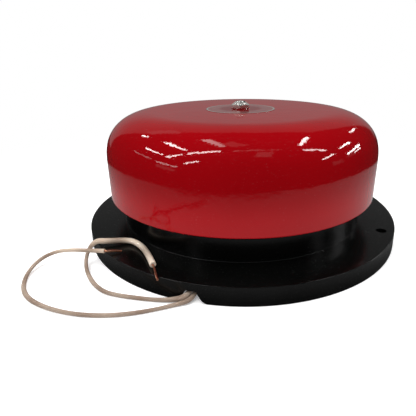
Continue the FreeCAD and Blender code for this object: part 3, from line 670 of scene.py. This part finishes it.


# Black gloss moulding, slightly waved, with rub marks and dust, and a painted highlight along the drum's
# foot.
blackGloss = {
    "colour": (0.0014, 0.0015, 0.0014),
    "greyer": (0.0024, 0.0025, 0.0024),
    "dust": (0.08, 0.08, 0.08),
    "corner": (0.016, 0.017, 0.017),
    "paintedHighlightFrom": (0.0, 0.1 * mm),  # heights over the flange of the painted highlight line at the drum's foot
    "paintedHighlightTo": (0.3 * mm, 0.6 * mm),
    "roughness": 0.22,
    "waveDepth": 0.06 * mm,
}


def blackFinish():
    look = Finish("black_gloss")
    here = look.coordinates()
    cloud = look.noise(here, 30.0, 3.0, 0.55)
    rub = look.noise(look.coordinates((1, 1, 4)), 240.0, 4.0, 0.65).spread(0.55, 0.8)
    dust = look.noise(here, 1600.0, 1.0).spread(0.71, 0.80)
    colour = look.mix(cloud.spread(0.3, 0.7), blackGloss["colour"], blackGloss["greyer"])
    colour = look.mix(dust * 0.15, colour, blackGloss["dust"])
    # Painted highlight: a faint lighter line along the crease at the drum's foot.
    over = here.axis(2) - base["flangeTop"] * mm
    corner = over.spread(*blackGloss["paintedHighlightFrom"]) * over.spread(*blackGloss["paintedHighlightTo"], 1.0, 0.0)
    colour = look.mix(corner * 0.6, colour, blackGloss["corner"])
    waves = look.noise(here, 45.0, 1.0, 0.4)
    return look.finishWith(colour=colour, roughness=rub * 0.08 + dust * 0.2 + blackGloss["roughness"],
                           ior=1.33, normal=look.bump(waves, blackGloss["waveDepth"], 0.4))


dress(makeBase(), blackFinish(), replaces="base_housing")
print("base moulded")


# Label, washer and cap nut on the gong, in millimetres.
label = {"inner": 7.2, "outer": 26.4, "thickness": 0.2, "edge": 0.08, "around": 160}
washer = {"inner": 4.25, "outer": 6.25, "height": 1.2, "slit": 140.0, "gap": 9.0, "around": 72}
capNut = {"acrossFlats": 13.0, "flat": 1.5, "cone": 1.9, "domeRadius": 4.9, "height": 4.95,
          "chamfer": 0.4, "bore": 4.05, "boreDepth": 3.9, "bevel": 0.12, "bevelAngle": 18.0,
          "overlap": 0.01, "domeSteps": 12, "around": 96}


def makeLabel():
    inner, outer, high, edge = label["inner"], label["outer"], label["thickness"], label["edge"]
    corners = [(inner, 0), (outer, 0), (outer, high, edge), (inner, high, edge)]
    disc = turned("label_plate", roundedOutline(corners, 3), label["around"])
    return smooth(place(disc, Matrix.Translation((0, 0, gong["top"]))), 50)


# Bare smoky film that darkens round the nut, with a thin silvery ring near its edge.
film = {
    "colours": ((0.19, 0.056, 0.055), (0.235, 0.078, 0.075)),
    "silver": (0.27, 0.30, 0.27),
    "dark": (0.16, 0.004, 0.006),
    "ringRadius": 25.3 * mm,
    "ringFade": (0.35 * mm, 0.6 * mm),
    "darkFade": (13.5 * mm, 18.0 * mm),
    "roughness": 0.06,
}


def labelFinish():
    look = Finish("label_film")
    here = look.coordinates()
    radius = hypotenuse(here.axis(0), here.axis(1))
    ring = 1 - look.math("ABSOLUTE", radius - film["ringRadius"]).spread(*film["ringFade"])
    mottle = look.noise(here, 300.0, 3.0, 0.6).spread(0.35, 0.7)
    colour = look.mix(ring, look.mix(mottle, *film["colours"]), film["silver"])
    colour = look.mix(radius.spread(*film["darkFade"]), film["dark"], colour)
    return look.finishWith(colour=colour, roughness=mottle * 0.05 + film["roughness"], ior=1.55)


def makeWasher():
    inner, outer, high = washer["inner"], washer["outer"], washer["height"]
    corners = [(inner, 0, 0.15), (outer, 0, 0.15), (outer, high, 0.2), (inner, high, 0.2)]
    piece = turned("washer_split", roundedOutline(corners, 3), washer["around"], washer["gap"] - 360)
    start = Matrix.Rotation(math.radians(washer["slit"] + washer["gap"] / 2), 4, "Z")
    return smooth(place(piece, Matrix.Translation((0, 0, gong["top"])) @ start), 40)


# A turned blank cut to a hexagon: flats, then a cone, then a low dome that is part of a large ball.
def makeCapNut():
    corner = capNut["acrossFlats"] / math.sqrt(3)
    rim = corner + capNut["overlap"]
    height, domeRadius = capNut["height"], capNut["domeRadius"]
    rise = height - capNut["flat"] - capNut["cone"]
    ball = (domeRadius ** 2 + rise ** 2) / (2 * rise)
    dome = []
    for step in range(capNut["domeSteps"] + 1):
        angle = math.asin(domeRadius / ball) * (1 - step / capNut["domeSteps"])
        dome.append((ball * math.sin(angle), height - ball + ball * math.cos(angle)))
    corners = [(0, 0), (corner - capNut["chamfer"], 0), (rim, capNut["chamfer"]), (rim, capNut["flat"])]
    body = turned("cap_nut", roundedOutline(corners + dome, 1), capNut["around"])
    deselectAll()
    bpy.ops.mesh.primitive_cylinder_add(vertices=6, radius=corner * mm, depth=4 * height * mm,
                                        location=(0, 0, 0))
    combine(body, "INTERSECT", bpy.context.object)
    combine(body, "DIFFERENCE", post(capNut["bore"], -base["margin"], capNut["boreDepth"], (0, 0)))
    modified(body, "BEVEL", width=capNut["bevel"] * mm, segments=2, limit_method="ANGLE",
             angle_limit=math.radians(capNut["bevelAngle"]))
    seat = gong["top"] + washer["height"] * mm
    return smooth(place(body, Matrix.Translation((0, 0, seat))), 24)


# Bright plating with fine handling marks. The haze is dust on a piece that stands on the gong, from its foot
# over the gong's top upwards.
plating = {"clean": (0.90, 0.88, 0.83), "marked": (0.74, 0.71, 0.64), "dentDepth": 0.05 * mm}
haze = {"foot": 3.0 * mm, "depth": 0.4 * mm, "metallic": 0.76, "roughness": 0.21,
        "dentDepth": 0.035 * mm}


def platingFinish(name, roughness, hazed=False):
    look = Finish(name)
    here = look.coordinates()
    mark = look.noise(here, 900.0, 4.0, 0.6).spread(0.5, 0.8)
    dents = look.noise(here, 420.0, 1.0)
    metallic, dentDepth = 1.0, plating["dentDepth"]
    if hazed:
        dulled = here.axis(2) - (gong["top"] + haze["foot"])
        metallic = dulled.spread(0.0, haze["depth"], 1.0, haze["metallic"])
        roughness = dulled.spread(0.0, haze["depth"], roughness, haze["roughness"])
        dentDepth = haze["dentDepth"]
    return look.finishWith(colour=look.mix(mark, plating["clean"], plating["marked"]), metallic=metallic,
                           roughness=mark * 0.1 + roughness, normal=look.bump(dents, dentDepth, 0.5))


nutFinish = platingFinish("plating_bright", 0.12, hazed=True)
dress(makeLabel(), labelFinish(), replaces="label_disc")
dress(makeWasher(), platingFinish("washer_bright", 0.15), replaces="spring_washer")
dress(makeCapNut(), nutFinish, replaces="gong_nut")
print("label, washer and nut fitted")


# Return spring, which the striker squeezes as it moves out; here it is wound once between the ends of the
# CAD spring.
springLow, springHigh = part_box("return_spring")
spring = {"meanRadius": 7.2 * mm, "wireRadius": 0.45 * mm, "turns": 4, "stepsPerTurn": 24,
          "axisHeight": 49.0 * mm, "seat": 24.0 * mm, "travel": 4.0 * mm}


def makeSpring():
    start = springLow[0] + spring["wireRadius"]
    end = springHigh[0] - spring["wireRadius"]
    steps = spring["turns"] * spring["stepsPerTurn"]
    points = []
    for step in range(steps + 1):
        around = polar(spring["meanRadius"], 360 * step / spring["stepsPerTurn"])
        along = start + (end - start) * step / steps
        points.append(Vector((along, around.x, spring["axisHeight"] + around.y)) / mm)
    coil = cordCurve("return_spring_coil", points, 2 * spring["wireRadius"] / mm)
    coil.data.splines[0].resolution_u = 2
    takeHold(coil)
    bpy.ops.object.convert(target="MESH")
    return smooth(bpy.context.object, 40)


springPiece = makeSpring()
dress(springPiece, platingFinish("spring_bright", 0.12), replaces="return_spring")
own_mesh(springPiece)
print("return spring wound")


# Finishes of the pieces under the gong.
# Zinc-plated or plain steel: fine brushing along one way and slight spotting.
def steelFinish(name, light, dark, brush, roughness):
    look = Finish(name)
    grain = look.noise(look.coordinates(brush), 900.0, 3.0, 0.6)
    spots = look.noise(look.coordinates(), 180.0, 3.0, 0.6).spread(0.45, 0.8)
    return look.finishWith(colour=look.mix(spots, light, dark), metallic=1.0,
                           roughness=grain * 0.14 + roughness, normal=look.bump(grain, 0.01 * mm, 0.5))


def mouldingFinish(name, colour, shade, roughness, grainScale=700.0):
    look = Finish(name)
    grain = look.noise(look.coordinates(), grainScale, 3.0, 0.55)
    cloud = look.noise(look.coordinates(), 70.0).spread(0.3, 0.7)
    return look.finishWith(colour=look.mix(cloud, colour, shade), roughness=grain * 0.15 + roughness,
                           specular=0.4, normal=look.bump(grain, 0.03 * mm, 0.5))


# Even bands across X, Y or Z.
def bands(look, direction, scale, distortion=0.0):
    return look.add("ShaderNodeTexWave", {"wave_type": "BANDS", "bands_direction": direction}, {
        "Vector": look.coordinates(), "Scale": scale, "Distortion": distortion})


# Varnished cloth tape: a plain weave round the coil.
def tapeFinish():
    look = Finish("tape_varnished")
    weave = bands(look, "X", 420.0) * bands(look, "Z", 420.0)
    colour = look.mix(weave, (0.42, 0.29, 0.12), (0.62, 0.47, 0.24))
    return look.finishWith(colour=colour, roughness=0.5 - weave * 0.12, coat=0.3,
                           normal=look.bump(weave, 0.06 * mm, 0.6))


# Enamelled wire wound in close turns along the coil.
def windingFinish():
    look = Finish("winding_copper")
    turns = bands(look, "X", 500.0, 0.4)
    colour = look.mix(turns, (0.30, 0.12, 0.05), (0.62, 0.30, 0.15))
    return look.finishWith(colour=colour, metallic=1.0, roughness=0.35 - turns * 0.1,
                           normal=look.bump(turns, 0.2 * mm, 0.8))


finishes = {
    "zinc_steel": steelFinish("zinc_plate", (0.56, 0.57, 0.55), (0.40, 0.41, 0.38), (1, 1, 6), 0.28),
    "frame_steel": steelFinish("steel_plain", (0.36, 0.36, 0.36), (0.25, 0.24, 0.23), (6, 1, 1), 0.34),
    "spring_steel": steelFinish("steel_spring", (0.5, 0.5, 0.5), (0.38, 0.38, 0.37), (4, 1, 1), 0.25),
    "brass": steelFinish("brass_plain", (0.72, 0.52, 0.22), (0.55, 0.38, 0.15), (6, 1, 1), 0.26),
    "tinned_brass": steelFinish("brass_tinned", (0.62, 0.60, 0.55), (0.48, 0.46, 0.41), (1, 1, 5), 0.3),
    "black_rubber": mouldingFinish("rubber_black", (0.018, 0.018, 0.018), (0.030, 0.029, 0.028), 0.6),
    "bobbin_nylon": mouldingFinish("nylon_natural", (0.62, 0.58, 0.47), (0.56, 0.51, 0.40), 0.38),
    "striker_nylon": mouldingFinish("nylon_hard", (0.70, 0.67, 0.58), (0.62, 0.58, 0.48), 0.3),
    "tag_laminate": mouldingFinish("laminate_brown", (0.20, 0.085, 0.03), (0.14, 0.055, 0.02), 0.4, 1800.0),
    "black_moulding": mouldingFinish("moulding_black", (0.012, 0.012, 0.012), (0.02, 0.02, 0.02), 0.3),
    "coil_tape": tapeFinish(),
    "copper_wire": windingFinish(),
    "sleeving": sleeving,
}
for subpart in frame["record"]["subparts"]:
    if subpart["node"] in remade:
        continue
    node = frame["nodes"][subpart["node"]]
    node.data.materials.clear()
    node.data.materials.append(finishes[subpart["material_slot"]])
print("inner pieces finished")


# Floor, surroundings and lamps.
floor = {"left": -350.0, "right": 320.0, "front": -225.0, "back": 520.0, "corner": 150.0,
         "colour": (0.97, 0.97, 0.97), "lift": 0.3, "fade": (0.26, 0.42)}
# What gloss sees of the room: a dim wall behind, by slope across and up, and darkness elsewhere.
surround = {
    "radius": 2.2,
    "dark": 0.018,
    "wall": 0.138,
    "wallLow": 0.052,
    "lowElevation": (11.0, 24.0),
    "wallAcross": (-1.16, -1.08, 0.68, 0.76),
    "wallUp": (-0.10, -0.06, 1.30, 1.40),
    "ambient": 0.42,
    "white": (1.0, 1.0, 1.0),
    "black": (0.0, 0.0, 0.0),
}
# The table round the object is a soft oval; its fades are shares of its half sizes.
tableCard = {
    "radius": 1.2,
    "middle": 10.0 * mm,
    "halfWidth": 286.0 * mm,
    "halfDepth": 236.0 * mm,
    "near": 0.45,
    "edge": 0.24,
    "levelFade": (0.55, 1.0),
    "edgeFade": (0.97, 1.06),
    "tilt": 0.06,
    "shadow": 0.10,
    "shadowFade": (117.0 * mm, 145.0 * mm),
    "lift": 0.1 * mm,
}
lamps = {
    "lampKey": {"place": (-0.55, -0.95, 1.8), "size": (1.4, 1.0), "power": 25.0},
    "lampTop": {"place": (0.1, 0.3, 1.9), "size": (1.4, 1.4), "power": 25.0},
}
lampAim = Vector((0, 0, 0.05))
# A cord on the table in front: the width of each run and its places, in millimetres.
darkCord = {"level": 0.04, "height": 0.5, "runs": [
    (5, [(-72, -212), (-86, -201), (-98, -190), (-117, -166), (-128, -146), (-137, -125), (-139, -113),
         (-135, -104), (-129, -100)]),
    (3, [(-142, -110), (-151, -113), (-156, -118), (-153, -125), (-143, -127), (-139, -121)]),
    (3, [(-138, -125), (-128, -134), (-117, -137), (-110, -135), (-109, -129), (-114, -120), (-122, -111),
         (-129, -109), (-133, -113)]),
]}
# Strips of the studio that show as highlights, the last six only faintly: azimuth and elevation of both
# ends in degrees, width in millimetres, level.
stripInset = 0.08
strips = [
    (165, 52.8, -157.6, 55.3, 105, 19), (175.5, 34.4, -164, 35.1, 80, 18),
    (-155.3, 33.2, -148.5, 45.6, 105, 18), (-145.1, 48.6, -119.9, 66.5, 125, 17),
    (-135, 26.5, -125.5, 35.7, 85, 18), (138, 70.1, -136, 77.8, 140, 4),
    (-160.1, 19.2, -140.1, 17.4, 60, 5), (143.3, 37.7, 146.8, 41.6, 84, 14),
    (171.8, 21.2, -166.3, 21.5, 50, 2), (-5.6, 58.8, 36.4, 56.4, 75, 20),
    (-19, 51.8, -7.6, 37.9, 100, 14), (-22.1, 24.5, -8, 27.6, 60, 19),
    (4.2, 30.8, 20.9, 29.6, 76, 19), (2.7, 18.5, 22.3, 18.7, 80, 20),
    (11, 14.8, 20.2, 14.8, 54, 14), (42.5, 28.9, 48.9, 24.7, 66, 8),
    (-102, 68.7, -35.4, 63.6, 60, 1), (136.3, 40.5, 119.2, 47.4, 285, 0.30),
    (154.5, 82.6, -93.1, 83.2, 330, 0.34), (-70.9, 59.0, -54.8, 54.6, 495, 0.44),
    (-158.1, 12.9, -140.3, 9.9, 187, 0.33), (-16.7, 11.6, -6.5, 11.0, 198, 0.23),
    (-0.5, 14.5, 11.4, 13.8, 149, 0.16),
]


# The share of rays that should find the white background: what the camera, gloss and glass see.
def seenWhite(look):
    seen = [look.add("ShaderNodeLightPath", output=kind)
            for kind in ("Is Camera Ray", "Is Glossy Ray", "Is Transmission Ray")]
    return look.math("MINIMUM", seen[0] + seen[1] + seen[2], 1.0)


def makeFloor():
    deselectAll()
    bpy.ops.mesh.primitive_plane_add(size=1, location=(0, 0, 0))
    sheet = bpy.context.object
    sheet.name = "floor"
    bpy.ops.object.mode_set(mode="EDIT")
    bpy.ops.mesh.select_all(action="SELECT")
    width, depth = floor["right"] - floor["left"], floor["back"] - floor["front"]
    middle = ((floor["left"] + width / 2) * mm, (floor["front"] + depth / 2) * mm, 0)
    bpy.ops.transform.resize(value=(width * mm, depth * mm, 1))
    bpy.ops.transform.translate(value=middle)
    bpy.ops.mesh.bevel(offset=floor["corner"] * mm, segments=16, affect="VERTICES")
    bpy.ops.object.mode_set(mode="OBJECT")
    look = Finish("floor_white")
    here = look.coordinates()
    cameraRay = look.add("ShaderNodeLightPath", output="Is Camera Ray")
    fade = hypotenuse(here.axis(0), here.axis(1)).spread(*floor["fade"]) * cameraRay
    look.finishWith(colour=floor["colour"], roughness=0.6, specular=0.1, alpha=1 - fade,
                    glow=surround["white"], glowStrength=seenWhite(look) * floor["lift"])
    sheet.data.materials.append(look.material)


# Only gloss sees these pieces of the studio: they neither light the object nor cast a shadow.
def onlyInGloss(piece, look, level):
    look.finishWith(colour=surround["black"], specular=0.0, glow=surround["white"], glowStrength=level)
    look.material.cycles.emission_sampling = "NONE"
    piece.data.materials.clear()
    piece.data.materials.append(look.material)
    piece.visible_camera = False
    piece.visible_diffuse = False
    piece.visible_transmission = False
    piece.visible_shadow = False


# One when the value lies between the two middle limits, fading to nothing at the outer ones.
def window(value, limits):
    return value.spread(limits[0], limits[1]) * (1 - value.spread(limits[2], limits[3]))


def makeTent():
    deselectAll()
    bpy.ops.mesh.primitive_uv_sphere_add(segments=64, ring_count=32, radius=surround["radius"])
    tent = bpy.context.object
    tent.name = "studio_tent"
    bpy.ops.object.shade_smooth()
    look = Finish("tent_grey")
    here = look.coordinates()
    x, y, z = (here.axis(k) for k in range(3))
    depth = look.math("MAXIMUM", y, 0.001)
    elevation = look.math("ARCSINE", z / surround["radius"]) * (180 / math.pi)
    wall = elevation.spread(*surround["lowElevation"], surround["wallLow"], 0.0) + surround["wall"]
    share = window(x / depth, surround["wallAcross"]) * window(z / depth, surround["wallUp"])
    onlyInGloss(tent, look, share * wall + surround["dark"])


# The table as gloss sees it: grey round the object, darker at its foot and towards its edge.
def makeTableCard():
    deselectAll()
    bpy.ops.mesh.primitive_circle_add(vertices=96, radius=tableCard["radius"], fill_type="NGON",
                                      location=(0, 0, 0))
    card = bpy.context.object
    card.name = "table_card"
    bpy.ops.object.mode_set(mode="EDIT")
    bpy.ops.mesh.inset(thickness=tableCard["radius"] / 2)
    bpy.ops.mesh.select_all(action="SELECT")
    bpy.ops.transform.translate(value=(0, 0, tableCard["lift"]))
    bpy.ops.object.mode_set(mode="OBJECT")
    look = Finish("table_grey")
    here = look.coordinates()
    x, y = here.axis(0), here.axis(1)
    across = (x - tableCard["middle"]) / tableCard["halfWidth"]
    share = hypotenuse(across, y / tableCard["halfDepth"])
    level = share.spread(*tableCard["levelFade"], tableCard["near"], tableCard["edge"])
    level = level + across * tableCard["tilt"]
    level = level * hypotenuse(x, y).spread(*tableCard["shadowFade"], tableCard["shadow"], 1.0)
    level = level * share.spread(*tableCard["edgeFade"], 1.0, 0.0)
    onlyInGloss(card, look, level + surround["dark"])


# A dark cord on the table in front of the object, which shows only in the gloss of the gong.
def makeDarkCord():
    for index, (width, places) in enumerate(darkCord["runs"]):
        points = [(x, y, darkCord["height"]) for x, y in places]
        piece = cordCurve(f"studio_cord_{index}", points, width)
        onlyInGloss(piece, Finish(f"cord_dark_{index}"), darkCord["level"])


# A place just inside the tent.
def onTent(azimuth, elevation):
    reach = surround["radius"] - stripInset
    level = math.radians(elevation)
    return polar(reach * math.cos(level), azimuth, reach * math.sin(level))


# A flat bright strip on the tent's inside, from one direction to another.
def makeStrip(index, azimuth, elevation, endAzimuth, endElevation, width, level):
    start, end = onTent(azimuth, elevation), onTent(endAzimuth, endElevation)
    way = end - start
    middle = (start + end) / 2
    out = middle.normalized()
    deselectAll()
    bpy.ops.mesh.primitive_plane_add(size=1, location=(0, 0, 0))
    strip = bpy.context.object
    strip.name = f"studio_strip_{index}"
    across = out.cross(way).normalized()
    turn = Matrix((way.normalized(), across, out)).transposed().to_4x4()
    size = Matrix.Diagonal((way.length, width * mm, 1, 1))
    place(strip, Matrix.Translation(middle) @ turn @ size)
    onlyInGloss(strip, Finish(f"strip_white_{index}"), level)


def makeLamp(name, facts):
    light = bpy.data.lights.new(name, "AREA")
    light.shape = "RECTANGLE"
    light.size, light.size_y = facts["size"]
    light.energy = facts["power"]
    lamp = bpy.data.objects.new(name, light)
    bpy.context.scene.collection.objects.link(lamp)
    lamp.location = facts["place"]
    lamp.rotation_euler = (lampAim - Vector(facts["place"])).to_track_quat("-Z", "Y").to_euler()
    lamp.visible_glossy = False


def makeWorld():
    world = bpy.data.worlds.new("surroundings")
    bpy.context.scene.world = world
    world.use_nodes = True
    world.cycles.sampling_method = "NONE"
    look = NodeSheet(world.node_tree)
    strength = seenWhite(look) * (1 - surround["ambient"]) + surround["ambient"]
    look.connect(look.tree.nodes["Background"], {"Color": surround["white"], "Strength": strength})


makeFloor()
makeTent()
makeTableCard()
makeDarkCord()
for index, strip in enumerate(strips):
    makeStrip(index, *strip)
for name, facts in lamps.items():
    makeLamp(name, facts)
makeWorld()
print("floor, surroundings and lamps set")

scene = bpy.context.scene
scene.view_settings.view_transform = "Standard"
